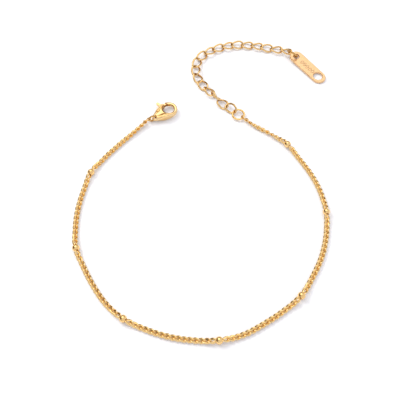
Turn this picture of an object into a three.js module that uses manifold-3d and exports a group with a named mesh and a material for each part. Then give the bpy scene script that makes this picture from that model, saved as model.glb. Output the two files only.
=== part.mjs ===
// Link bracelet: a fine curb chain with seven small balls on it, a lobster clasp at one end, and at the
// other a jump ring, an extender chain and a plain tag. It lies open on the plane z = 0.
// Millimetres, +Z up, origin under the middle of the whole bracelet's box.

import * as THREE from 'three';
import Module from 'manifold-3d';
import { mergeVertices } from 'three/addons/utils/BufferGeometryUtils.js';

const wasm = await Module();
wasm.setup();

const degrees = THREE.MathUtils.degToRad;

// ---------------------------------------------------------------- driving dimensions

const CURB_WIDTH = 1.4; // across the curb links as they lie
const CURB_HEIGHT = 0.85;
const BALL_RADIUS = 0.9;
const STEP_ALONG_TUBE = 2.75; // a little over two widths of the curb chain

const EXTENDER_WIDTH = 2.8; // across the open links of the extender
const EXTENDER_HEIGHT = 1.3;

const RUNNING_GAP = 0.12; // between a chain's end and the ring or ball that it meets
const FLOOR_GAP = 0.02; // keeps a faceted underside from dipping below z = 0

// The clasp's ring stands upright along its direction, the end ring lies nearly flat, and the tag's ring
// leans over the end of the tag.
const CLASP_RING = { outerRadius: 1.15, wire: 0.42, direction: degrees(202), slackInEye: 0.18 };
const END_RING = { outerRadius: 1.825, wire: 0.5, x: 8.25, y: 18.0, z: 0.68, tilt: degrees(3) };
const TAG_RING = {
  outerRadius: 1.825, wire: 0.5, x: 24.37, y: 38.85, direction: degrees(140), lean: degrees(30),
};

// The curb chain's middle line as it lies, from the clasp's ring to the end ring. Every fourth point
// carries a ball.
const POINTS_PER_STRETCH = 4;
const CHAIN_ROUTE = [
  [-16.3, 15.8], [-20.7, 11.1], [-24.0, 7.5], [-27.1, 3.7],
  [-29.9, -0.5], [-31.3, -5.5], [-32.2, -10.7], [-32.3, -16.1],
  [-31.6, -21.6], [-29.4, -26.3], [-26.7, -31.0], [-23.4, -35.4],
  [-19.3, -38.9], [-14.3, -41.2], [-8.9, -42.9], [-3.4, -43.7],
  [2.1, -43.8], [7.4, -42.5], [12.2, -40.0], [16.8, -37.0],
  [21.0, -33.5], [24.2, -28.6], [26.8, -23.4], [28.4, -17.7],
  [28.9, -11.9], [28.2, -6.5], [26.4, -1.3], [23.8, 3.5],
  [20.8, 8.1], [18.1, 10.5], [15.2, 12.6], [12.2, 14.6],
  [9.8, 16.7],
];

// The extender's middle line, from the end ring to the tag's ring.
const EXTENDER_ROUTE = [
  [6.9, 19.4], [4.6, 21.1], [2.0, 24.0], [-0.6, 27.2], [-2.6, 30.4], [-3.3, 33.9], [-2.7, 37.1],
  [-0.6, 39.7], [2.6, 41.7], [6.4, 42.9], [10.5, 43.2], [14.6, 42.7], [18.6, 41.7], [22.8, 40.6],
];

// Each ball lifts the chain beside it: level with the ball's middle up to LIFT_FLAT from that middle,
// and down on the surface again at LIFT_END.
const LIFT_FLAT = 1.2;
const LIFT_END = 4.2;

const CLASP = {
  x: -10.62, // middle of the hook's round opening
  y: 19.3,
  turn: degrees(33.7), // from +X to the line from tail to hook
  thickness: 2.0,
  hookThickness: 1.1,
  tailThickness: 0.8,
  hookOuterRadius: 2.35,
  hookInnerRadius: 1.5,
  shoulderAngle: degrees(101), // the mouth lies between the shoulder and the nose
  spineHandles: [[-1.9, -2.35], [-3.4, -1.7]], // of the curve from under the hook to the tail
  shoulderHandles: [[-3.59, 1.26], [-1.7, 2.25]], // and of the one from the tail to the shoulder
  tailX: -4.5,
  tailY: -0.3,
  tailRadius: 0.84,
  tailLowAngle: degrees(-117),
  tailHighAngle: degrees(122),
  eyeRadius: 0.5,
  thinnerTowardsHook: { from: -1.7, to: 1.3 },
  thinnerTowardsTail: { from: -2.4, to: -4.4 },
  roundDepth: 0.5, // of the rounded edges, down the side
  edgeRound: 0.32, // and in over the face
};

const LEVER = {
  pivotX: -2.85,
  pivotY: 0.75,
  thickness: 0.72,
  innerRadius: 1.56,
  tipOuterRadius: 1.93,
  armOuterRadius: 2.28,
  tipAngle: degrees(62),
  tipEndAngle: degrees(86),
  armFromAngle: degrees(87.5), // flush with the clasp's outside from here
  armEndAngle: degrees(132),
  undersideEndAngle: degrees(148),
  heelRadius: 0.5,
  heelFromAngle: degrees(115), // about the pivot
  heelToAngle: degrees(300),
  boreRadius: 0.34,
  pinRadius: 0.26,
  pinSunk: 0.04, // below the clasp's face at each end
  tabAngle: degrees(114),
  tabReach: 4.0,
  tabHalfWidth: 0.34,
};

// The nose ends in an arc about the lever's pivot, so that the lever swings past it.
const MOUTH = { noseFromPivot: 3.43, topAngle: degrees(33.5), bottomAngle: degrees(7.5), past: 0.3 };

// The lever's slot in the clasp's body, open towards the mouth and the opening, and the notch in the nose
// that the lever's tip rests in.
const SLOT = {
  width: 0.9,
  corners: [[-3.4, 0.1], [-3.4, 1.5], [-2.6, 2.9], [0.2, 3.4], [0.2, 0.5], [-1.0, -0.45]],
  notchInnerRadius: 1.3,
  notchOuterRadius: 2.03,
  notchFromAngle: degrees(44),
  notchToAngle: degrees(80),
};

const TAG = {
  x: 28.45, // middle of the plate
  y: 34.75,
  turn: degrees(-51.3), // from +X to the line from the ring's hole to the large hole
  length: 13.0,
  width: 3.9,
  thickness: 0.6,
  edgeRound: 0.1,
  ringHoleRadius: 0.85,
  ringHoleFromEnd: 1.75,
  largeHoleRadius: 1.3,
  largeHoleFromEnd: 2.3,
  ringEndLift: 0.66, // the ring's wire runs under this end
};

// ---------------------------------------------------------------- materials

const gold = new THREE.MeshStandardMaterial({ color: 0xe0a951, metalness: 1, roughness: 0.22 });
const paleGold = new THREE.MeshStandardMaterial({ color: 0xeabf6e, metalness: 1, roughness: 0.16 });
const satinGold = new THREE.MeshStandardMaterial({ color: 0xedc08a, metalness: 1, roughness: 0.4 });

// ---------------------------------------------------------------- helpers

const bracelet = new THREE.Group();
bracelet.name = 'link_bracelet';

function add(name, geometry, material, parent = bracelet) {
  const mesh = new THREE.Mesh(geometry, material);
  mesh.name = name;
  parent.add(mesh);
  return mesh;
}

// A closed geometry as a solid that can be joined and cut.
function solid(geometry) {
  const bare = geometry.clone();
  bare.deleteAttribute('normal');
  bare.deleteAttribute('uv');
  const merged = mergeVertices(bare, 1e-4);
  return new wasm.Manifold(new wasm.Mesh({
    numProp: 3,
    vertProperties: new Float32Array(merged.attributes.position.array),
    triVerts: new Uint32Array(merged.index.array),
  }));
}

function geometryOf(manifold) {
  const mesh = manifold.getMesh();
  const geometry = new THREE.BufferGeometry();
  geometry.setAttribute('position', new THREE.BufferAttribute(mesh.vertProperties, 3));
  geometry.setIndex(new THREE.BufferAttribute(mesh.triVerts, 1));
  geometry.computeVertexNormals();
  return geometry;
}

// A round post along Z, centred on z = 0.
function post(radius, height, x, y, sides = 16) {
  return new THREE.CylinderGeometry(radius, radius, height, sides).rotateX(Math.PI / 2).translate(x, y, 0);
}

// An outline as a plate of even thickness, centred on z = 0.
function plate(shape, thickness, curveSegments = 10) {
  return new THREE.ExtrudeGeometry(shape, { depth: thickness, bevelEnabled: false, curveSegments })
    .translate(0, 0, -thickness / 2);
}

const polar = (radius, angle, x = 0, y = 0) => [x + radius * Math.cos(angle), y + radius * Math.sin(angle)];

// ---------------------------------------------------------------- chains

// An eight-sided section: its first axis stands upright along the tube, its second lies across it.
function octagon(height, width) {
  const corners = [];
  for (let i = 0; i < 8; i++) {
    const angle = (i + 0.5) * Math.PI / 4;
    const toCorner = 1 / Math.cos(Math.PI / 8);
    corners.push(new THREE.Vector2(
      height / 2 * toCorner * Math.cos(angle), width / 2 * toCorner * Math.sin(angle)));
  }
  return new THREE.Shape(corners);
}

// The part of a lying route between two lengths along it, at the height that heightAt gives.
class Stretch extends THREE.Curve {
  constructor(route, from, to, heightAt) {
    super();
    Object.assign(this, { route, from, to, heightAt });
  }

  getPoint(t, target = new THREE.Vector3()) {
    const along = this.from + t * (this.to - this.from);
    const point = this.route.getPointAt(Math.min(1, along / this.route.getLength()));
    return target.set(point.x, point.y, this.heightAt(along));
  }
}

function lyingRoute(points) {
  const route = new THREE.CatmullRomCurve3(
    points.map(([x, y]) => new THREE.Vector3(x, y, 0)), false, 'catmullrom', 0.5);
  route.arcLengthDivisions = 2000;
  return route;
}

function chainTube(stretch, height, width) {
  const steps = Math.max(3, Math.round((stretch.to - stretch.from) / STEP_ALONG_TUBE));
  return new THREE.ExtrudeGeometry(octagon(height, width), {
    steps, bevelEnabled: false, extrudePath: stretch,
  });
}

const chainRoute = lyingRoute(CHAIN_ROUTE);
const chainLength = chainRoute.getLength();
const stretchCount = (CHAIN_ROUTE.length - 1) / POINTS_PER_STRETCH;
const lengths = chainRoute.getLengths();

// The length along the chain at which control point i lies.
function lengthAtPoint(i) {
  return lengths[Math.round(i / (CHAIN_ROUTE.length - 1) * (lengths.length - 1))];
}

const ballLengths = [];
for (let k = 1; k < stretchCount; k++) ballLengths.push(lengthAtPoint(k * POINTS_PER_STRETCH));

// Middle height of the curb chain: on the surface, and eased up to a ball's middle close to it.
function chainHeightAt(along) {
  const toBall = Math.min(...ballLengths.map((ball) => Math.abs(along - ball)));
  const eased = THREE.MathUtils.clamp((toBall - LIFT_FLAT) / (LIFT_END - LIFT_FLAT), 0, 1);
  const low = CURB_HEIGHT / 2 + FLOOR_GAP;
  return low + (BALL_RADIUS - low) * 0.5 * (1 + Math.cos(Math.PI * eased));
}

for (let k = 0; k < stretchCount; k++) {
  const fromBall = k > 0 ? BALL_RADIUS + RUNNING_GAP : 0;
  const toBall = k < stretchCount - 1 ? BALL_RADIUS + RUNNING_GAP : 0;
  const from = k > 0 ? ballLengths[k - 1] + fromBall : 0;
  const to = k < stretchCount - 1 ? ballLengths[k] - toBall : chainLength;
  const stretch = new Stretch(chainRoute, from, to, chainHeightAt);
  add(`curb_chain_${k + 1}`, chainTube(stretch, CURB_HEIGHT, CURB_WIDTH), gold);
}

for (let k = 1; k < stretchCount; k++) {
  const [x, y] = CHAIN_ROUTE[k * POINTS_PER_STRETCH];
  add(`ball_${k}`, new THREE.SphereGeometry(BALL_RADIUS, 16, 10).rotateX(Math.PI / 2), paleGold)
    .position.set(x, y, BALL_RADIUS);
}

const extenderRoute = lyingRoute(EXTENDER_ROUTE);
const extenderHeightAt = () => EXTENDER_HEIGHT / 2 + FLOOR_GAP;
const extender = new Stretch(extenderRoute, 0, extenderRoute.getLength(), extenderHeightAt);
add('extender_chain', chainTube(extender, EXTENDER_HEIGHT, EXTENDER_WIDTH), gold);

// ---------------------------------------------------------------- lobster clasp

// Its own frame has the hook's opening at the origin, the tail along -X, the lever's side along +Y and
// the middle plane at z = 0.
const clasp = new THREE.Group();
clasp.position.set(CLASP.x, CLASP.y, CLASP.thickness / 2 + FLOOR_GAP);
clasp.rotation.z = CLASP.turn;
bracelet.add(clasp);

// From the shoulder round the hook, along the spine to the round tail and back to the shoulder, with the
// round opening. The mouth is cut afterwards.
function claspOutline() {
  const { hookOuterRadius: outer, hookInnerRadius: inner, shoulderAngle } = CLASP;
  const { tailX, tailY, tailRadius, tailLowAngle, tailHighAngle, spineHandles, shoulderHandles } = CLASP;
  const shape = new THREE.Shape();
  shape.moveTo(...polar(outer, shoulderAngle));
  shape.absarc(0, 0, outer, shoulderAngle, -Math.PI / 2, true);
  shape.bezierCurveTo(...spineHandles.flat(), ...polar(tailRadius, tailLowAngle, tailX, tailY));
  shape.absarc(tailX, tailY, tailRadius, tailLowAngle, tailHighAngle, true);
  shape.bezierCurveTo(...shoulderHandles.flat(), ...polar(outer, shoulderAngle));
  const opening = new THREE.Path();
  opening.absarc(0, 0, inner, 0, 2 * Math.PI, false);
  shape.holes.push(opening);
  return shape;
}

function mouthOutline() {
  const { hookOuterRadius: outer, hookInnerRadius: inner, shoulderAngle } = CLASP;
  const { noseFromPivot, topAngle, bottomAngle, past } = MOUTH;
  const shape = new THREE.Shape();
  shape.moveTo(...polar(inner - past, shoulderAngle));
  shape.lineTo(...polar(outer + past, shoulderAngle));
  shape.absarc(LEVER.pivotX, LEVER.pivotY, noseFromPivot, topAngle, bottomAngle, true);
  return shape;
}

// Full thickness over the body, thinner round the hook and at the tail.
function claspThicknessAt(x) {
  const { thinnerTowardsHook: hook, thinnerTowardsTail: tail } = CLASP;
  const towardsHook = THREE.MathUtils.smoothstep(x, hook.from, hook.to);
  const towardsTail = THREE.MathUtils.smoothstep(-x, -tail.from, -tail.to);
  return CLASP.thickness
    - (CLASP.thickness - CLASP.hookThickness) * towardsHook
    - (CLASP.thickness - CLASP.tailThickness) * towardsTail;
}

function claspBody() {
  const geometry = new THREE.ExtrudeGeometry(claspOutline(), {
    depth: CLASP.thickness - 2 * CLASP.roundDepth,
    bevelEnabled: true,
    bevelThickness: CLASP.roundDepth,
    bevelSize: CLASP.edgeRound,
    bevelOffset: -CLASP.edgeRound,
    bevelSegments: 3,
    curveSegments: 8,
  }).translate(0, 0, CLASP.roundDepth - CLASP.thickness / 2);
  const position = geometry.attributes.position;
  for (let i = 0; i < position.count; i++) {
    position.setZ(i, position.getZ(i) * claspThicknessAt(position.getX(i)) / CLASP.thickness);
  }
  const slot = new THREE.Shape(SLOT.corners.map(([x, y]) => new THREE.Vector2(x, y)));
  const notch = new THREE.Shape();
  notch.absarc(0, 0, SLOT.notchOuterRadius, SLOT.notchFromAngle, SLOT.notchToAngle, false);
  notch.absarc(0, 0, SLOT.notchInnerRadius, SLOT.notchToAngle, SLOT.notchFromAngle, true);
  const throughAll = 2 * CLASP.thickness;
  return solid(geometry)
    .subtract(solid(plate(mouthOutline(), throughAll, 4)))
    .subtract(solid(plate(slot, SLOT.width)))
    .subtract(solid(plate(notch, SLOT.width, 4)))
    .subtract(solid(post(CLASP.eyeRadius, throughAll, CLASP.tailX, CLASP.tailY)))
    .subtract(solid(post(LEVER.boreRadius, throughAll, LEVER.pivotX, LEVER.pivotY)));
}

// A heel round the pin, a curved arm that shuts the mouth, and a tab for the thumb on its outer side.
function leverOutline() {
  const { innerRadius, tipOuterRadius, armOuterRadius } = LEVER;
  const { tipAngle, tipEndAngle, armFromAngle, armEndAngle } = LEVER;
  const { pivotX, pivotY, heelRadius, tabAngle, tabHalfWidth, tabReach } = LEVER;
  const tabFoot = Math.asin(tabHalfWidth / armOuterRadius);
  const [tabX, tabY] = polar(tabReach - tabHalfWidth, tabAngle);
  const shape = new THREE.Shape();
  shape.moveTo(...polar(innerRadius, tipAngle));
  shape.lineTo(...polar(tipOuterRadius, tipAngle));
  shape.absarc(0, 0, tipOuterRadius, tipAngle, tipEndAngle, false);
  shape.lineTo(...polar(armOuterRadius, armFromAngle));
  shape.absarc(0, 0, armOuterRadius, armFromAngle, tabAngle - tabFoot, false);
  shape.absarc(tabX, tabY, tabHalfWidth, tabAngle - Math.PI / 2, tabAngle + Math.PI / 2, false);
  shape.lineTo(...polar(armOuterRadius, tabAngle + tabFoot));
  shape.absarc(0, 0, armOuterRadius, tabAngle + tabFoot, armEndAngle, false);
  shape.absarc(pivotX, pivotY, heelRadius, LEVER.heelFromAngle, LEVER.heelToAngle, false);
  shape.lineTo(...polar(innerRadius, LEVER.undersideEndAngle));
  shape.absarc(0, 0, innerRadius, LEVER.undersideEndAngle, tipAngle, true);
  const bore = new THREE.Path();
  bore.absarc(pivotX, pivotY, LEVER.boreRadius, 0, 2 * Math.PI, true);
  shape.holes.push(bore);
  return shape;
}

const pinLength = claspThicknessAt(LEVER.pivotX) - 2 * LEVER.pinSunk;

add('clasp_body', geometryOf(claspBody()), paleGold, clasp);
add('clasp_lever', plate(leverOutline(), LEVER.thickness, 8), paleGold, clasp);
add('clasp_pin', post(LEVER.pinRadius, pinLength, LEVER.pivotX, LEVER.pivotY), gold, clasp);

// ---------------------------------------------------------------- rings

// A ring that stands on its rim, in the upright plane through a given direction, with its middle at x, y.
function standingRing(name, { outerRadius, wire, direction, lean = 0 }, x, y) {
  const ring = add(name, new THREE.TorusGeometry(outerRadius - wire / 2, wire / 2, 8, 28), gold);
  ring.rotation.set(Math.PI / 2 - lean, 0, direction, 'ZYX');
  ring.position.set(x, y, (outerRadius - wire / 2) * Math.cos(lean) + wire / 2 + FLOOR_GAP);
}

// The clasp's ring stands in the tail's eye, and the curb chain hooks its far side.
clasp.updateMatrix();
const eye = new THREE.Vector3(CLASP.tailX, CLASP.tailY, 0).applyMatrix4(clasp.matrix);
const eyeToRing = CLASP_RING.outerRadius - CLASP_RING.wire / 2 - CLASP_RING.slackInEye;
standingRing('clasp_ring', CLASP_RING, ...polar(eyeToRing, CLASP_RING.direction, eye.x, eye.y));

// The end ring lies nearly flat, on the ends of the curb chain and the extender that it holds.
const endRingRadius = END_RING.outerRadius - END_RING.wire / 2;
const endRing = add('end_ring', new THREE.TorusGeometry(endRingRadius, END_RING.wire / 2, 8, 28), gold);
endRing.position.set(END_RING.x, END_RING.y, END_RING.z);
endRing.rotation.x = END_RING.tilt;

// ---------------------------------------------------------------- tag and its ring

// A plate with round ends. Its own frame has the plate's middle at the origin and the ring's hole
// towards -X.
function tagPlate() {
  const radius = TAG.width / 2;
  const straight = TAG.length / 2 - radius;
  const shape = new THREE.Shape();
  shape.absarc(straight, 0, radius, -Math.PI / 2, Math.PI / 2, false);
  shape.absarc(-straight, 0, radius, Math.PI / 2, 3 * Math.PI / 2, false);
  for (const [x, holeRadius] of [
    [TAG.ringHoleFromEnd - TAG.length / 2, TAG.ringHoleRadius],
    [TAG.length / 2 - TAG.largeHoleFromEnd, TAG.largeHoleRadius],
  ]) {
    const hole = new THREE.Path();
    hole.absarc(x, 0, holeRadius, 0, 2 * Math.PI, true);
    shape.holes.push(hole);
  }
  return new THREE.ExtrudeGeometry(shape, {
    depth: TAG.thickness - 2 * TAG.edgeRound,
    bevelEnabled: true,
    bevelThickness: TAG.edgeRound,
    bevelSize: TAG.edgeRound,
    bevelOffset: -TAG.edgeRound,
    bevelSegments: 1,
    curveSegments: 12,
  }).translate(0, 0, TAG.edgeRound - TAG.thickness / 2);
}

const tagTilt = Math.asin(TAG.ringEndLift / TAG.length);
const tag = add('tag', tagPlate(), satinGold);
tag.rotation.set(0, tagTilt, TAG.turn, 'ZYX');
tag.position.set(TAG.x, TAG.y,
  TAG.thickness / 2 * Math.cos(tagTilt) + TAG.length / 2 * Math.sin(tagTilt) + FLOOR_GAP);

// The tag's ring leans over the round end of the tag, through the small hole, towards the extender.
standingRing('tag_ring', TAG_RING, TAG_RING.x, TAG_RING.y);

export default bracelet;
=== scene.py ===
# A fine gold-plated bracelet lying open: a curb chain with seven small balls, a lobster clasp, and an
# extender chain that ends in a plain tag. Everything is in metres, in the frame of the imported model.

import math

import bpy
import numpy as np
from mathutils import Matrix, Vector


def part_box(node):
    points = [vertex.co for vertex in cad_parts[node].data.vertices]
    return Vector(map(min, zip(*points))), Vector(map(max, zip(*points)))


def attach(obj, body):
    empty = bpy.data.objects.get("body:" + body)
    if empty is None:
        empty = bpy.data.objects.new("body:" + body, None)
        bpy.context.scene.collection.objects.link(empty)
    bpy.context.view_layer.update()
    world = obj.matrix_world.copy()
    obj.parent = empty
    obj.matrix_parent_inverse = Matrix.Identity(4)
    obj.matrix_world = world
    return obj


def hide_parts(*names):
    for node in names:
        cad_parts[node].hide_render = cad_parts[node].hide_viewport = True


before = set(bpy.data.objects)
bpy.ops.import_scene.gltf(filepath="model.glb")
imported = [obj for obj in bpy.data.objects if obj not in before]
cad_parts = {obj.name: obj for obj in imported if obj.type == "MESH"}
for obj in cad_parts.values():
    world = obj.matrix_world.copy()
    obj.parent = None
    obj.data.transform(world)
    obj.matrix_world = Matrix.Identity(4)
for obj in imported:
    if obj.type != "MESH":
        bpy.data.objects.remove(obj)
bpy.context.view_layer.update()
MM = 0.001


# ---------------------------------------------------------------- camera
# A long lens looks down at the middle of the loop from the front.

LOOKED_AT = Vector((-2.12, -8.10, 0.0)) * MM
CAMERA_DISTANCE = 147 * MM
CAMERA_ELEVATION = math.radians(60.9)

camera_data = bpy.data.cameras.new("camera")
camera_data.lens = 52.94
camera_data.sensor_width = 36.0
camera_data.clip_start = 0.005
camera_data.clip_end = 10.0
camera = bpy.data.objects.new("camera", camera_data)
bpy.context.scene.collection.objects.link(camera)
camera.location = LOOKED_AT + CAMERA_DISTANCE * Vector(
    (0.0, -math.cos(CAMERA_ELEVATION), math.sin(CAMERA_ELEVATION)))
camera.rotation_euler = (math.pi / 2 - CAMERA_ELEVATION, 0.0, 0.0)
bpy.context.scene.camera = camera


# ---------------------------------------------------------------- table and light
# A matt white table under one large soft light at its far side and a smaller one at the far left, whose
# shadows fall to the near right. The room is pale towards the near right and unlit at the far left,
# which polished metal mirrors as its dark strokes.

TABLE_RADIUS = 1.2
TABLE_SIDES = 64
TABLE_TINTS = ((0.85, 0.86, 0.89, 1), (0.88, 0.885, 0.91, 1))
TABLE_GLOW = 0.07
GLOW_COLOUR = (0.90, 0.93, 1.0, 1)
LIGHTS = {
    "sky_light": {"place": (-0.17, 0.42, 0.74), "width": 1.0, "power": 3.9, "mirrored": True},
    "shadow_light": {"place": (-0.38, 0.30, 0.40), "width": 0.34, "power": 2.1, "mirrored": False},
}
LIGHT_COLOUR = (1.0, 0.975, 0.93)
ROOM_LIT = (0.86, 0.87, 0.93, 1)
ROOM_UNLIT = (0.13, 0.10, 0.075, 1)
LIT_TOWARDS = (0.72, -0.62, 0.30)
LIT_BETWEEN = (-0.55, 0.50)  # a direction's dot products with LIT_TOWARDS where it is unlit and lit


def full_turn(cuts):
    """The angles of that many even cuts round a circle."""
    return 2 * np.pi * np.arange(cuts) / cuts


def put_mesh(name, points, faces, material):
    """A smooth-shaded mesh object at the origin from arrays of points and faces."""
    mesh = bpy.data.meshes.new(name)
    mesh.from_pydata(np.asarray(points, float).tolist(), [], [list(face) for face in faces])
    mesh.materials.append(material)
    mesh.shade_smooth()
    piece = bpy.data.objects.new(name, mesh)
    bpy.context.scene.collection.objects.link(piece)
    return piece


def node_material(name):
    """A new material, with its node tree and its Principled shader."""
    material = bpy.data.materials.new(name)
    material.use_nodes = True
    return material, material.node_tree, material.node_tree.nodes["Principled BSDF"]


table_paint, tree, shader = node_material("table_paint")
shader.inputs["Roughness"].default_value = 0.8
shader.inputs["Specular IOR Level"].default_value = 0.2
shader.inputs["Emission Color"].default_value = GLOW_COLOUR
shader.inputs["Emission Strength"].default_value = TABLE_GLOW
grain = tree.nodes.new("ShaderNodeTexNoise")
grain.inputs["Scale"].default_value = 40.0
tint = tree.nodes.new("ShaderNodeMix")
tint.data_type = "RGBA"
tint.inputs["A"].default_value, tint.inputs["B"].default_value = TABLE_TINTS
tree.links.new(grain.outputs["Fac"], tint.inputs["Factor"])
tree.links.new(tint.outputs["Result"], shader.inputs["Base Color"])
turn = full_turn(TABLE_SIDES)
table = put_mesh("table", np.c_[TABLE_RADIUS * np.cos(turn), TABLE_RADIUS * np.sin(turn), 0 * turn],
                 [np.arange(TABLE_SIDES)], table_paint)

for name, given in LIGHTS.items():
    light_data = bpy.data.lights.new(name, "AREA")
    light_data.shape = "DISK"
    light_data.size = given["width"]
    light_data.energy = given["power"]
    light_data.color = LIGHT_COLOUR
    light = bpy.data.objects.new(name, light_data)
    bpy.context.scene.collection.objects.link(light)
    light.location = given["place"]
    light.rotation_euler = (-Vector(given["place"])).to_track_quat("-Z", "Y").to_euler()
    light.visible_glossy = given["mirrored"]

room = bpy.data.worlds.new("room")
room.use_nodes = True
tree = room.node_tree
direction = tree.nodes.new("ShaderNodeTexCoord")
facing = tree.nodes.new("ShaderNodeVectorMath")
facing.operation = "DOT_PRODUCT"
facing.inputs[1].default_value = LIT_TOWARDS
lit = tree.nodes.new("ShaderNodeMapRange")
lit.interpolation_type = "SMOOTHSTEP"
lit.inputs["From Min"].default_value, lit.inputs["From Max"].default_value = LIT_BETWEEN
walls = tree.nodes.new("ShaderNodeMix")
walls.data_type = "RGBA"
walls.inputs["A"].default_value = ROOM_UNLIT
walls.inputs["B"].default_value = ROOM_LIT
tree.links.new(direction.outputs["Generated"], facing.inputs[0])
tree.links.new(facing.outputs["Value"], lit.inputs["Value"])
tree.links.new(lit.outputs["Result"], walls.inputs["Factor"])
tree.links.new(walls.outputs["Result"], tree.nodes["Background"].inputs["Color"])
bpy.context.scene.world = room
bpy.context.scene.view_settings.view_transform = "Standard"


# ---------------------------------------------------------------- gold plating
# Brass under a thin coat of gold. The plating is a little redder where it is thinner, and handling
# leaves fine scratches that blur its shine here and there. Where parts shade it, it is painted a deep
# gold: painted shade.


def build_plating():
    """The plating as a shader group on Object coordinates. The colour wanders between two golds in soft
    patches, and its share of painted shade takes it towards a darker shade colour, for the shade that
    falls between parts and in creases. The roughness goes from Smooth to Worn with a fine
    speckle drawn out into scratches, which Height gives as well."""
    group = bpy.data.node_groups.new("gold_plating", "ShaderNodeTree")
    interface = group.interface
    for label, kind, value in (
        ("Colour", "NodeSocketColor", (0.90, 0.64, 0.30, 1)),
        ("Thin Colour", "NodeSocketColor", (0.88, 0.55, 0.22, 1)),
        ("Shade Colour", "NodeSocketColor", (0.38, 0.17, 0.04, 1)),
        ("Painted Shade", "NodeSocketFloat", 0.0),
        ("Patch Scale", "NodeSocketFloat", 900.0),
        ("Scratch Scale", "NodeSocketFloat", 6000.0),
        ("Smooth", "NodeSocketFloat", 0.14),
        ("Worn", "NodeSocketFloat", 0.30),
    ):
        socket = interface.new_socket(label, in_out="INPUT", socket_type=kind)
        socket.default_value = value
    for label, kind in (("Colour", "NodeSocketColor"), ("Roughness", "NodeSocketFloat"),
                        ("Height", "NodeSocketFloat")):
        interface.new_socket(label, in_out="OUTPUT", socket_type=kind)
    new, link = group.nodes.new, group.links.new
    given, made = new("NodeGroupInput"), new("NodeGroupOutput")
    place = new("ShaderNodeTexCoord")

    patches = new("ShaderNodeTexNoise")
    patches.inputs["Detail"].default_value = 2.0
    link(place.outputs["Object"], patches.inputs["Vector"])
    link(given.outputs["Patch Scale"], patches.inputs["Scale"])
    spread = new("ShaderNodeMapRange")
    spread.inputs["From Min"].default_value = 0.35
    spread.inputs["From Max"].default_value = 0.65
    link(patches.outputs["Fac"], spread.inputs["Value"])
    warm = new("ShaderNodeMix")
    warm.data_type = "RGBA"
    link(spread.outputs["Result"], warm.inputs["Factor"])
    link(given.outputs["Colour"], warm.inputs["A"])
    link(given.outputs["Thin Colour"], warm.inputs["B"])
    shade_mix = new("ShaderNodeMix")
    shade_mix.data_type = "RGBA"
    link(given.outputs["Painted Shade"], shade_mix.inputs["Factor"])
    link(warm.outputs["Result"], shade_mix.inputs["A"])
    link(given.outputs["Shade Colour"], shade_mix.inputs["B"])
    link(shade_mix.outputs["Result"], made.inputs["Colour"])

    stretch = new("ShaderNodeMapping")
    stretch.inputs["Scale"].default_value = (1.0, 0.25, 1.0)
    stretch.inputs["Rotation"].default_value = (0.0, 0.0, 0.6)
    link(place.outputs["Object"], stretch.inputs["Vector"])
    scratches = new("ShaderNodeTexNoise")
    scratches.inputs["Detail"].default_value = 3.0
    scratches.inputs["Roughness"].default_value = 0.65
    link(stretch.outputs["Vector"], scratches.inputs["Vector"])
    link(given.outputs["Scratch Scale"], scratches.inputs["Scale"])
    rough = new("ShaderNodeMapRange")
    rough.inputs["From Min"].default_value = 0.35
    rough.inputs["From Max"].default_value = 0.75
    link(scratches.outputs["Fac"], rough.inputs["Value"])
    link(given.outputs["Smooth"], rough.inputs["To Min"])
    link(given.outputs["Worn"], rough.inputs["To Max"])
    link(rough.outputs["Result"], made.inputs["Roughness"])
    link(scratches.outputs["Fac"], made.inputs["Height"])
    return group


plating_group = build_plating()


def plated(name, scratch_depth=0.4e-6, painted_shade=None, **values):
    """A gold-plated finish: the plating group with its own values, into a metal shader. The named point
    attribute, if given, holds the painted shade: it darkens the gold where shade falls, in a crease or
    between neighbours."""
    material, tree, shader = node_material(name)
    shader.inputs["Metallic"].default_value = 1.0
    plating = tree.nodes.new("ShaderNodeGroup")
    plating.node_tree = plating_group
    for label, value in values.items():
        plating.inputs[label.replace("_", " ").title()].default_value = value
    if painted_shade:
        mark = tree.nodes.new("ShaderNodeAttribute")
        mark.attribute_name = painted_shade
        tree.links.new(mark.outputs["Fac"], plating.inputs["Painted Shade"])
    bump = tree.nodes.new("ShaderNodeBump")
    bump.inputs["Distance"].default_value = scratch_depth
    tree.links.new(plating.outputs["Height"], bump.inputs["Height"])
    tree.links.new(plating.outputs["Colour"], shader.inputs["Base Color"])
    tree.links.new(plating.outputs["Roughness"], shader.inputs["Roughness"])
    tree.links.new(bump.outputs["Normal"], shader.inputs["Normal"])
    return material


# ---------------------------------------------------------------- jump rings
# Three rings of round brass wire, cut from a coil, bent shut so that their ends butt, and plated. One
# joins the clasp to the chain, one is what the clasp fastens to, and one carries the tag.

RINGS = {
    # outer radius and wire in mm; degrees: the way it faces, its lean from upright, where its ends meet
    "clasp_ring": {"radius": 1.15, "wire": 0.42, "towards": 202, "lean": 0, "ends_meet": 60},
    "end_ring": {"radius": 1.825, "wire": 0.50, "towards": 0, "lean": 87, "ends_meet": 215},
    "tag_ring": {"radius": 1.825, "wire": 0.50, "towards": 140, "lean": 30, "ends_meet": 75},
}
RING_CUTS = (72, 18)
BUTT_GAP = 0.03 * MM
CHAMFER = 0.05 * MM
HOOK_GAP = 0.03 * MM  # between a ring and the link that hooks it


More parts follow.
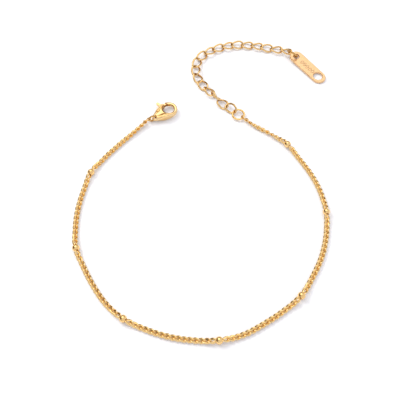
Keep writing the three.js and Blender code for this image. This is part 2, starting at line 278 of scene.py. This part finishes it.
def skin(name, grids, material, close=True):
    """One mesh over an array of points of shape (copies, rows, columns, 3). Each point is joined to the
    next in its row and in its column by a four-sided face. The columns run round to their start. So do
    the rows if close is true, and otherwise a flat cap shuts each end."""
    copies, rows, columns = grids.shape[:3]
    index = np.arange(copies * rows * columns).reshape(copies, rows, columns)
    right, down = np.roll(index, -1, axis=1), np.roll(index, -1, axis=2)
    both = np.roll(right, -1, axis=2)
    faces = np.stack([index, right, both, down], axis=-1)[:, :rows if close else rows - 1]
    faces = faces.reshape(-1, 4).tolist()
    if not close:
        faces += index[:, 0].tolist() + index[:, -1, ::-1].tolist()
    return put_mesh(name, grids.reshape(-1, 3), faces, material)


def unit(vectors):
    """Each vector divided by its own length."""
    return vectors / np.linalg.norm(vectors, axis=-1, keepdims=True)


def on_ring(name, angle, radius):
    """Points of a ring's own plane at the given angles from the way it faces, and at a radius. With them
    come their outward directions and the ring's axis."""
    ring = RINGS[name]
    low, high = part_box(name)
    towards, lean = math.radians(ring["towards"]), math.radians(ring["lean"])
    along = np.array([math.cos(towards), math.sin(towards), 0.0])
    up = np.array([-math.sin(towards) * math.sin(lean), math.cos(towards) * math.sin(lean),
                   math.cos(lean)])
    angle = np.asarray(angle)[..., None]
    outward = np.cos(angle) * along + np.sin(angle) * up
    return np.array((low + high) / 2) + radius * outward, outward, np.cross(along, up)


def bent_ring(name, material):
    """A wire of round section carried round a circle from one of its ends to the other, its last step at
    each end drawn in as a chamfer."""
    ring = RINGS[name]
    wire, middle = ring["wire"] / 2 * MM, (ring["radius"] - ring["wire"] / 2) * MM
    free = np.array([BUTT_GAP / 2, BUTT_GAP / 2 + CHAMFER]) / middle
    t = np.r_[free[0], np.linspace(free[1], 2 * np.pi - free[1], RING_CUTS[0]), 2 * np.pi - free[0]]
    thick = np.full(len(t), wire)
    thick[[0, -1]] -= CHAMFER
    line, outward, axis = on_ring(name, t + math.radians(ring["ends_meet"]), middle)
    turn = full_turn(RING_CUTS[1])[None, :, None]
    section = np.cos(turn) * outward[:, None] + np.sin(turn) * axis
    points = line[:, None] + thick[:, None, None] * section
    piece = skin(f"bent_{name}", points[None], material, close=False)
    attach(piece, "bracelet")
    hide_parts(name)


def hook_tip(name, angle, wire):
    """Where the middle of a link's end lies when the link of that wire hooks a ring at an angle."""
    ring = RINGS[name]
    inside = (ring["radius"] - ring["wire"]) * MM - wire / 2 - HOOK_GAP
    return on_ring(name, math.radians(angle), inside)[0]


ring_gold = plated("ring_gold", colour=(0.93, 0.64, 0.27, 1), thin_colour=(0.90, 0.56, 0.19, 1))
# The clasp ring and the tag ring are painted a darker gold than the end ring: a painted dark reflection,
# for the dark room their faces mirror.
painted_shade_ring_gold = plated("painted_shade_ring_gold", colour=(0.66, 0.40, 0.13, 1),
                        thin_colour=(0.55, 0.30, 0.08, 1))
for name, material in (("clasp_ring", painted_shade_ring_gold), ("end_ring", ring_gold),
                       ("tag_ring", painted_shade_ring_gold)):
    bent_ring(name, material)


# ---------------------------------------------------------------- curb chain
# Eight stretches of fine curb chain: oval links of flattened brass wire, each twisted so far that it
# nests in its neighbours and presses into them a little, then filed nearly flat above and below, and
# plated. A link of round wire at one end hooks the clasp's ring, and one at the other end the end ring.

CHAIN_ROUTE = np.array([  # four points to a stretch, and the last one's end
    [-16.3, 15.8], [-20.7, 11.1], [-24.0, 7.5], [-27.1, 3.7],
    [-29.9, -0.5], [-31.3, -5.5], [-32.2, -10.7], [-32.3, -16.1],
    [-31.6, -21.6], [-29.4, -26.3], [-26.7, -31.0], [-23.4, -35.4],
    [-19.3, -38.9], [-14.3, -41.2], [-8.9, -42.9], [-3.4, -43.7],
    [2.1, -43.8], [7.4, -42.5], [12.2, -40.0], [16.8, -37.0],
    [21.0, -33.5], [24.2, -28.6], [26.8, -23.4], [28.4, -17.7],
    [28.9, -11.9], [28.2, -6.5], [26.4, -1.3], [23.8, 3.5],
    [20.8, 8.1], [18.1, 10.5], [15.2, 12.6], [12.2, 14.6],
    [9.8, 16.7],
]) * MM
POINTS_PER_STRETCH = 4
STRETCHES = (len(CHAIN_ROUTE) - 1) // POINTS_PER_STRETCH
CURB_WIRE = (0.66 * MM, 0.30 * MM)  # pressed flat: its width as it lies, and its thickness
CURB_WIDTH = 1.52 * MM
CURB_LENGTH = 2.49 * MM
CURB_PITCH = 1.28 * MM
CURB_TWIST = math.radians(66)  # each way from the link's middle
CURB_SQUARENESS = 2.6
CURB_CUTS = (12, 6)  # steps round the link, and round its wire
CURB_FILED = 0.39 * MM  # how far from its middle plane the chain's two faces are filed nearly flat
FILED_SHARE = 0.85  # of what stands past that
# how dark the painted shade is where the curb links shade each other
CURB_PAINTED_SHADE = 0.3
BALL_RADIUS = 0.90 * MM
TIP_IN_BALL = 0.36 * MM  # from a ball's middle to the tip of the link in its hole
LYING = 0.52 * MM  # the chain's middle line above the table
REST_ON_TABLE = 0.02 * MM  # the least height of a lying link's points before they are rounded
LIFT_FLAT = 1.2 * MM  # from a ball's middle, how far the chain stays at the ball's height
LIFT_END = 4.2 * MM  # and where it lies on the table again
HOOK_WIRE = (0.36 * MM, 0.34 * MM)  # the two end links are left round, so that they take the rings
HOOK_LENGTH = 2.45 * MM
HOOK_SQUARENESS = 2.3
HOOK_CUTS = (24, 8)
HOOK_PITCH = 1.42 * MM
HOOK_EASE = 3.0 * MM  # how far from a hooked end a chain lies at its own height again
# the round end links get the full painted shade where they meet their neighbours
HOOK_PAINTED_SHADE = 1.0
CLASP_HOOK_AT = -25  # degrees round the ring from the way that it faces
END_HOOK_AT = -40
# mm from the chain's end, and how far a link there is rolled, in degrees: the rings hold the chain's
# ends on edge, and it settles flat from there, at the end ring after turning up once more
ROLL_AT_CLASP = np.array([[0, 52], [4, 36], [9, 0]])
ROLL_AT_END = np.array([[0, 50], [3, 50], [5.5, 12], [7, 12], [9.5, 50], [12, 5], [13, 0]])
# the painted shade is full where the wire's side faces the link's middle within this cosine, and it sets
# in at this share of the way to a tip and over this much of it
SHADE_INWARD = 0.7
SHADE_FROM = 0.55
SHADE_FADE = 0.3


def wire_round(line, normal, wire, cuts):
    """A wire carried along a closed line: at each point the oval flat / 2 * side * cos + thick / 2 *
    normal * sin, where the normal is made square to the line's heading and side to both."""
    flat, thick = wire
    heading = unit(np.roll(line, -1, axis=0) - np.roll(line, 1, axis=0))
    normal = unit(normal - heading * (normal * heading).sum(-1, keepdims=True))
    side = np.cross(heading, normal)
    turn = full_turn(cuts)
    return line[:, None] + (flat / 2 * side[:, None] * np.cos(turn)[None, :, None]
                            + thick / 2 * normal[:, None] * np.sin(turn)[None, :, None])


def stand_off(cuts):
    """How far out the corners of a ring of straight cuts lie so that subdivision rounds it to size 1."""
    return 6 / (4 + 2 * math.cos(2 * math.pi / cuts))


def twisted_link(length, width, wire, twist, squareness, cuts):
    """A curb link lying flat. Its wire's middle line is the rounded oval |x/a|^n + |y/b|^n = 1, with n
    the squareness, turned about x by an angle that runs evenly from -twist at one tip to +twist at the
    other."""
    around, across = cuts
    t = full_turn(around)
    a, b = (length - wire[0]) / 2, (width - wire[0]) / 2
    x = np.sign(np.cos(t)) * np.abs(np.cos(t)) ** (2 / squareness)
    y = np.sign(np.sin(t)) * np.abs(np.sin(t)) ** (2 / squareness)
    turn = twist * x
    line = np.stack([a * x, b * y * np.cos(turn), b * y * np.sin(turn)], axis=-1)
    normal = np.stack([0 * turn, -np.sin(turn), np.cos(turn)], axis=-1)
    return wire_round(line * stand_off(around), normal, np.array(wire) * stand_off(across), across)


def mark_painted_shade(links, link, depth):
    """Gives every point of the links its painted shade: 0 on the wire's outer half and along the link's
    sides, rising to depth on the side of each tip that faces the middle of the link, where the neighbours
    shade it."""
    line = link.mean(axis=1, keepdims=True)
    inward = -(unit(link - line) * unit(line)).sum(-1)
    to_tip = np.abs(line[..., 0]) / np.abs(line[..., 0]).max()
    painted_shade = depth * np.clip(inward / SHADE_INWARD, 0, 1) * np.clip((to_tip - SHADE_FROM) / SHADE_FADE, 0, 1)
    mark = links.data.attributes.new("painted_shade", "FLOAT", "POINT")
    copies = len(links.data.vertices) // inward.size
    mark.data.foreach_set("value", np.tile(painted_shade.ravel(), copies))


def smooth_line(controls, cuts=64):
    """The line through the control points, cut fine, and the length along it of each cut. Between two
    points it is the cubic that passes each of them parallel to the chord between its neighbours."""
    ends = 2 * controls[[0, -1]] - controls[[1, -2]]
    p = np.vstack([ends[:1], controls, ends[1:]])[:, None]
    before, start, end, after = p[:-3], p[1:-2], p[2:-1], p[3:]
    t = np.linspace(0, 1, cuts, endpoint=False)[:, None]
    points = ((2 * t**3 - 3 * t**2 + 1) * start + (t**3 - 2 * t**2 + t) * (end - before) / 2
              + (3 * t**2 - 2 * t**3) * end + (t**3 - t**2) * (after - start) / 2)
    points = np.vstack([points.reshape(-1, controls.shape[1]), controls[-1:]])
    along = np.r_[0, np.cumsum(np.linalg.norm(np.diff(points, axis=0), axis=1))]
    return points, along


def at_length(line, along, where):
    """The points of a cut line at the given lengths along it."""
    return np.stack([np.interp(where, along, line[:, k]) for k in range(line.shape[1])], axis=-1)


def axes_along(line, along, where, reach):
    """At each length in where: forward, along the chord from reach / 2 behind it to reach / 2 ahead, then
    left, which is level, and up, which is square to both."""
    forward = unit(at_length(line, along, where + reach / 2) - at_length(line, along, where - reach / 2))
    left = unit(np.cross([0, 0, 1], forward))
    return forward, left, np.cross(forward, left)


def lay_links(link, line, along, where, reach, roll):
    """Copies of a link on a line, one centred at each length in where, each pointing forward over reach
    and rolled about that."""
    forward, left, up = axes_along(line, along, where, reach)
    c, s = np.cos(roll)[:, None], np.sin(roll)[:, None]
    axes = np.stack([forward, c * left + s * up, c * up - s * left], axis=1)
    return np.einsum("rcj,njk->nrck", link, axes) + at_length(line, along, where)[:, None, None]


def rest_links(laid):
    """The links, each of those that would dip below REST_ON_TABLE lifted to it."""
    low = laid[..., 2].min(axis=(1, 2), keepdims=True)
    laid[..., 2] += np.clip(REST_ON_TABLE - low, 0, None)
    return laid


def coming_down(distance):
    """Half a cosine wave, from 1 at distance 0 down to 0 at distance 1, and level before and after."""
    return 0.5 * (1 + np.cos(np.pi * np.clip(distance, 0, 1)))


def hooked_line(first, line, along, last, reach):
    """A lying line with a hook's tip before it and another behind it. Its height eases down from each tip
    within reach."""
    for tip, edge in ((first, 0), (last, along[-1])):
        line[:, 2] += (tip[2] - line[:, 2]) * coming_down(np.abs(along - edge) / reach)
    line = np.vstack([first, line, last])
    return line, np.r_[0, np.cumsum(np.linalg.norm(np.diff(line, axis=0), axis=1))]


chain_flat, flat_along = smooth_line(CHAIN_ROUTE)
cuts_per_point = (len(chain_flat) - 1) // (len(CHAIN_ROUTE) - 1)
ball_cuts = np.arange(1, STRETCHES) * POINTS_PER_STRETCH * cuts_per_point
to_ball = np.abs(flat_along[:, None] - flat_along[ball_cuts]).min(axis=1)
height = LYING + (BALL_RADIUS - LYING) * coming_down((to_ball - LIFT_FLAT) / (LIFT_END - LIFT_FLAT))
chain_line, chain_along = hooked_line(
    hook_tip("clasp_ring", CLASP_HOOK_AT, HOOK_WIRE[0]), np.c_[chain_flat, height], flat_along,
    hook_tip("end_ring", END_HOOK_AT, HOOK_WIRE[0]), HOOK_EASE)
ball_lengths = chain_along[ball_cuts + 1]

# The chain's gold is painted darker on the inner side of each link's tips: painted shade where the
# neighbouring links shade it.
curb_gold = plated("curb_gold", painted_shade="painted_shade", colour=(0.95, 0.68, 0.31, 1),
                   thin_colour=(0.92, 0.60, 0.23, 1))
curb_link = twisted_link(CURB_LENGTH, CURB_WIDTH, CURB_WIRE, CURB_TWIST, CURB_SQUARENESS, CURB_CUTS)
proud = np.abs(curb_link[..., 2]) - CURB_FILED
curb_link[..., 2] -= np.sign(curb_link[..., 2]) * FILED_SHARE * np.clip(proud, 0, None)
hook_link = twisted_link(HOOK_LENGTH, CURB_WIDTH, HOOK_WIRE, CURB_TWIST, HOOK_SQUARENESS, HOOK_CUTS)
hooks_at = (HOOK_LENGTH - HOOK_WIRE[0]) / 2 * np.array([1, -1]) + np.array([0, chain_along[-1]])
links_end = hooks_at + HOOK_PITCH * np.array([1, -1])


def curb_roll(where):
    """Each link's roll, from the two tables of roll against distance from an end."""
    roll = 0.0
    for table, distance in ((ROLL_AT_CLASP, where), (ROLL_AT_END, chain_along[-1] - where)):
        roll += np.interp(distance / MM, table[:, 0], table[:, 1])
    return np.radians(roll)


def finish_links(links, link, depth, *nodes):
    """What every piece of links gets: its painted shade, its rounding, its body and, where nodes are
    given, what it stands for."""
    mark_painted_shade(links, link, depth)
    rounding = links.modifiers.new("rounding", "SUBSURF")
    rounding.levels = rounding.render_levels = 1
    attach(links, "bracelet")
    if nodes:
        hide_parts(*nodes)


for k in range(STRETCHES):
    start = ball_lengths[k - 1] + TIP_IN_BALL + CURB_LENGTH / 2 if k > 0 else links_end[0]
    stop = ball_lengths[k] - TIP_IN_BALL - CURB_LENGTH / 2 if k < STRETCHES - 1 else links_end[1]
    where = np.linspace(start, stop, round((stop - start) / CURB_PITCH) + 1)
    laid = lay_links(curb_link, chain_line, chain_along, where, CURB_PITCH, curb_roll(where))
    links = skin(f"curb_links_{k + 1}", rest_links(laid), curb_gold)
    finish_links(links, curb_link, CURB_PAINTED_SHADE, f"curb_chain_{k + 1}")
laid = lay_links(hook_link, chain_line, chain_along, hooks_at, HOOK_LENGTH, curb_roll(hooks_at))
finish_links(skin("curb_hook_links", rest_links(laid), curb_gold), hook_link, HOOK_PAINTED_SHADE)


# ---------------------------------------------------------------- balls
# Seven brass balls, each with a hole through it for the ends of the chain, polished and plated.

HOLE_RADIUS = 0.45 * MM
RIM_ROUND = 0.07 * MM
HOLE_REACH = 2.0 * MM  # the length of the chain's chord along which the hole runs
BALL_CUTS = 40


def ball_profile(radius, hole, rim, cuts=26, rim_cuts=5):
    """Half a ball's section as x along the hole and r from its middle line: the sphere, the rounded rim,
    the hole's wall and the other rim, as the points of one closed line."""
    middle = math.sqrt((radius - rim) ** 2 - (hole + rim) ** 2)
    meet = math.atan2(hole + rim, middle)
    over = np.linspace(math.pi - meet, meet, cuts)
    round_rim = np.linspace(meet, -math.pi / 2, rim_cuts + 1)[1:]
    x = np.r_[radius * np.cos(over), middle + rim * np.cos(round_rim)]
    r = np.r_[radius * np.sin(over), hole + rim + rim * np.sin(round_rim)]
    return np.r_[x, -x[:cuts - 1:-1][:rim_cuts]], np.r_[r, r[:cuts - 1:-1][:rim_cuts]]


ball_gold = plated("ball_gold", scratch_depth=0.2e-6, colour=(0.95, 0.66, 0.30, 1),
                   thin_colour=(0.93, 0.60, 0.24, 1), smooth=0.08, worn=0.18)
x, r = ball_profile(BALL_RADIUS, HOLE_RADIUS, RIM_ROUND)
turn = full_turn(BALL_CUTS)
for k in range(1, STRETCHES):
    low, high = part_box(f"ball_{k}")
    middle = np.array((low + high) / 2)
    forward, left, up = axes_along(chain_line, chain_along, ball_lengths[k - 1], HOLE_REACH)
    grid = (middle + x[None, :, None] * forward
            + r[None, :, None] * (np.cos(turn)[:, None, None] * left + np.sin(turn)[:, None, None] * up))
    ball = skin(f"polished_ball_{k}", grid[None], ball_gold)
    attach(ball, "bracelet")
    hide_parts(f"ball_{k}")


# ---------------------------------------------------------------- extender chain
# Eighteen larger open curb links of thinner wire for their size, which lie a little turned and press
# into each other a little.

EXTENDER_ROUTE = np.array([
    [6.9, 19.4], [4.6, 21.1], [2.0, 24.0], [-0.6, 27.2], [-2.6, 30.4], [-3.3, 33.9], [-2.7, 37.1],
    [-0.6, 39.7], [2.6, 41.7], [6.4, 42.9], [10.5, 43.2], [14.6, 42.7], [18.6, 41.7], [22.8, 40.6],
]) * MM
EXTENDER_WIRE = (0.53 * MM, 0.46 * MM)
EXTENDER_WIDTH = 2.80 * MM
EXTENDER_LENGTH = 3.84 * MM
EXTENDER_LYING = 0.68 * MM
EXTENDER_TWIST = math.radians(30)
EXTENDER_SQUARENESS = 2.4
EXTENDER_CUTS = (24, 8)
# the extender links get the full painted shade where they meet their neighbours
EXTENDER_PAINTED_SHADE = 1.0
EXTENDER_HOOK_AT = 134  # degrees round the end ring, and round the tag's
TAG_HOOK_AT = -35
ROLLS = np.radians([-35, -8, 70, 18, -6, 8, -10, 5, 12, -8, 4, -6, 10, 0, -8, 6, -5, -18])

extender_flat, flat_along = smooth_line(EXTENDER_ROUTE)
height = np.full(len(extender_flat), EXTENDER_LYING)
extender_line, extender_along = hooked_line(
    hook_tip("end_ring", EXTENDER_HOOK_AT, EXTENDER_WIRE[0]), np.c_[extender_flat, height], flat_along,
    hook_tip("tag_ring", TAG_HOOK_AT, EXTENDER_WIRE[0]), HOOK_EASE)
open_link = twisted_link(EXTENDER_LENGTH, EXTENDER_WIDTH, EXTENDER_WIRE, EXTENDER_TWIST,
                         EXTENDER_SQUARENESS, EXTENDER_CUTS)
half = (EXTENDER_LENGTH - EXTENDER_WIRE[0]) / 2
where = np.linspace(half, extender_along[-1] - half, len(ROLLS))
# The extender's gold is painted darker on the inner side of each link's tips: painted shade where the
# neighbouring links shade it.
extender_gold = plated("extender_gold", painted_shade="painted_shade", colour=(0.87, 0.61, 0.29, 1),
                       thin_colour=(0.83, 0.53, 0.20, 1))
laid = lay_links(open_link, extender_line, extender_along, where, 2 * half, ROLLS)
laid[..., 2] += REST_ON_TABLE - laid[..., 2].min(axis=(1, 2), keepdims=True)
links = skin("extender_links", laid, extender_gold)
finish_links(links, open_link, EXTENDER_PAINTED_SHADE, "extender_chain")


# ---------------------------------------------------------------- lobster clasp
# Cast brass, tumbled smooth and plated: a hook, a slotted body and a tail with its eye in one casting,
# and a lever that a rivet holds in the slot. Lengths without MM are in millimetres.

CLASP_CELL = 0.05
CLASP_MELT = 22
LEVER_CELL = 0.04
LEVER_MELT = 12
# The lever's inner side, inside the hook's opening, is painted deep gold as painted shade.
LEVER_INSIDE = 1.80  # from the hook's middle: the lever's inner side, which is deep gold
LEVER_FADE = 0.15
WELDED_WITHIN = 1e-4
CLASP_TURN = math.radians(33.7)
HOOK_MIDDLE = np.array([-10.62, 19.3, 1.02]) * MM
OPENING_SIDES = 16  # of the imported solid's opening, whose corners lie at OPENING_RADIUS
OPENING_RADIUS = 1.5
OPENING_FADE = 0.7
CREASE_LINE = np.array([[-4.6, -0.35], [-3.0, -0.75], [-1.8, -1.0]])  # from the hook's middle
CREASE_RADIUS = 1.74
CREASE_ANGLES = np.radians([210, 112])
CREASE_CUTS = 30
# The crease is sunk into the face and also painted darker along it: painted shade.
CREASE = {"depth": 0.10, "half_width": 0.21, "painted_shade": 1.0, "above": 0.5, "fade": 0.2}
RIVET_DOME = 0.05 * MM
RIVET_TIP = 0.02  # the small flat at the middle of each dome, as a share of the rivet's radius
DOME_CUTS = 7
RIVET_CUTS = 20


def cast_copy(name, node, material, cell, melt, middle, axes):
    """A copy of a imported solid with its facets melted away: in its own axes and in millimetres, it is
    rebuilt in even cells, and each point then moves towards its neighbours' mean, melt times."""
    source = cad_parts[node].data
    points = np.empty(len(source.vertices) * 3)
    source.vertices.foreach_get("co", points)
    points = (points.reshape(-1, 3) - middle) @ axes / MM
    rough = put_mesh(name + "_rough", points, [face.vertices for face in source.polygons], material)
    weld = rough.modifiers.new("weld", "WELD")
    weld.merge_threshold = WELDED_WITHIN
    cells = rough.modifiers.new("cells", "REMESH")
    cells.mode = "VOXEL"
    cells.voxel_size = cell
    melting = rough.modifiers.new("melting", "SMOOTH")
    melting.factor = 0.5
    melting.iterations = melt
    bpy.context.view_layer.update()
    even = rough.evaluated_get(bpy.context.evaluated_depsgraph_get()).to_mesh()
    points = np.empty(len(even.vertices) * 3)
    even.vertices.foreach_get("co", points)
    faces = [tuple(face.vertices) for face in even.polygons]
    bpy.data.objects.remove(rough)
    return points.reshape(-1, 3), faces


def place_cast(name, node, body, points, faces, material, middle, axes, painted_shade=0.0):
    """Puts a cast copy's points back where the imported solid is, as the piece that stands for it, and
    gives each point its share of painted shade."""
    piece = put_mesh(name, points * MM @ axes.T + middle, faces, material)
    mark = piece.data.attributes.new("painted_shade", "FLOAT", "POINT")
    mark.data.foreach_set("value", painted_shade + np.zeros(len(points)))
    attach(piece, body)
    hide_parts(node)


clasp_gold = plated("clasp_gold", scratch_depth=0.2e-6, painted_shade="painted_shade", colour=(0.92, 0.66, 0.34, 1),
                    thin_colour=(0.89, 0.60, 0.26, 1), smooth=0.12, worn=0.24)
clasp_axes = np.array(Matrix.Rotation(CLASP_TURN, 3, "Z"))
points, faces = cast_copy("cast_clasp", "clasp_body", clasp_gold, CLASP_CELL, CLASP_MELT,
                          HOOK_MIDDLE, clasp_axes)
from_hook = np.hypot(points[:, 0], points[:, 1])
side = 2 * np.pi / OPENING_SIDES
off_side = np.mod(np.arctan2(points[:, 1], points[:, 0]), side) - side / 2
to_round = np.cos(off_side) / math.cos(side / 2) - 1  # from the flat sides out to the circle
near = np.clip(1 - (from_hook - OPENING_RADIUS) / OPENING_FADE, 0, 1)
points[:, :2] *= (1 + to_round * near)[:, None]
swept = np.linspace(*CREASE_ANGLES, CREASE_CUTS)
crease = np.vstack([smooth_line(CREASE_LINE)[0],
                    CREASE_RADIUS * np.stack([np.cos(swept), np.sin(swept)], axis=-1)])
from_crease = np.array([np.hypot(*(crease - point).T).min() for point in points[:, :2]])
on_face = np.clip((np.abs(points[:, 2]) - CREASE["above"]) / CREASE["fade"], 0, 1)
sunk = np.exp(-(from_crease / CREASE["half_width"]) ** 2) * on_face
points[:, 2] -= np.sign(points[:, 2]) * CREASE["depth"] * sunk
# The sunk crease carries its painted shade, full where it is sunk deepest.
place_cast("cast_clasp", "clasp_body", "bracelet", points, faces, clasp_gold,
           HOOK_MIDDLE, clasp_axes, CREASE["painted_shade"] * sunk)

points, faces = cast_copy("cast_lever", "clasp_lever", clasp_gold, LEVER_CELL, LEVER_MELT,
                          HOOK_MIDDLE, clasp_axes)
# painted shade on the lever's inner side, fading in from LEVER_INSIDE
painted_lever_shade = np.clip((LEVER_INSIDE - np.hypot(points[:, 0], points[:, 1])) / LEVER_FADE, 0, 1)
place_cast("cast_lever", "clasp_lever", "lever", points, faces, clasp_gold,
           HOOK_MIDDLE, clasp_axes, painted_lever_shade)

low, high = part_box("clasp_pin")
middle = np.array((low + high) / 2)
radius, half = (high - low)[0] / 2, (high - low)[2] / 2
bend = np.linspace(np.pi / 2, 0.0, DOME_CUTS)
r = radius * np.r_[RIVET_TIP, np.cos(bend)[1:], np.cos(bend)[:0:-1], RIVET_TIP]
dome = half - RIVET_DOME + RIVET_DOME * np.sin(bend)
z = np.r_[dome, -dome[::-1]]
turn = full_turn(RIVET_CUTS)[None, :]
grid = np.stack([r[:, None] * np.cos(turn), r[:, None] * np.sin(turn), z[:, None] + 0 * turn], axis=-1)
rivet = skin("rivet", (middle + grid)[None], ring_gold, close=False)
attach(rivet, "bracelet")
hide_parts("clasp_pin")


# ---------------------------------------------------------------- tag
# A stamped brass plate with round ends, two holes and a satin face, engraved with a row of plain
# lozenges, and plated. Its lengths are in millimetres.

TAG_TURN = math.radians(-51.3)
TAG_LENGTH = 13.0
TAG_RISE = 0.66  # of the end with the ring
TAG_TILT = math.asin(TAG_RISE / TAG_LENGTH)
TAG_CELL = 0.06
TAG_MELT = 3
TAG_HALF = 0.30  # half its thickness
FLAT_WITHIN = 0.02
LOZENGES = {"count": 5, "first": -2.1, "step": 1.05, "half_length": 0.40, "half_width": 0.62}
GROOVE = {"depth": 0.11, "half_width": 0.09}

low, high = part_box("tag")
middle = np.array((low + high) / 2)
tag_axes = np.array(Matrix.Rotation(TAG_TURN, 3, "Z") @ Matrix.Rotation(TAG_TILT, 3, "Y"))
tag_gold = plated("tag_gold", scratch_depth=1.0e-6, colour=(0.87, 0.585, 0.32, 1),
                  thin_colour=(0.85, 0.555, 0.29, 1), smooth=0.34, worn=0.46)
points, faces = cast_copy("stamped_tag", "tag", tag_gold, TAG_CELL, TAG_MELT, middle, tag_axes)
x, y, z = points.T
z[np.abs(z - TAG_HALF) < FLAT_WITHIN] = TAG_HALF
z[np.abs(z + TAG_HALF) < FLAT_WITHIN] = -TAG_HALF
centres = LOZENGES["first"] + LOZENGES["step"] * np.arange(LOZENGES["count"])
along_tag = np.abs(x[:, None] - centres) / LOZENGES["half_length"]
out = (along_tag + np.abs(y)[:, None] / LOZENGES["half_width"]).T
slant = 1 / math.hypot(1 / LOZENGES["half_length"], 1 / LOZENGES["half_width"])
from_line = np.abs(out - 1).min(axis=0) * slant
groove = GROOVE["depth"] * np.exp(-(from_line / GROOVE["half_width"]) ** 2)
z[z == TAG_HALF] -= groove[z == TAG_HALF]
place_cast("stamped_tag", "tag", "bracelet", points, faces, tag_gold, middle, tag_axes)
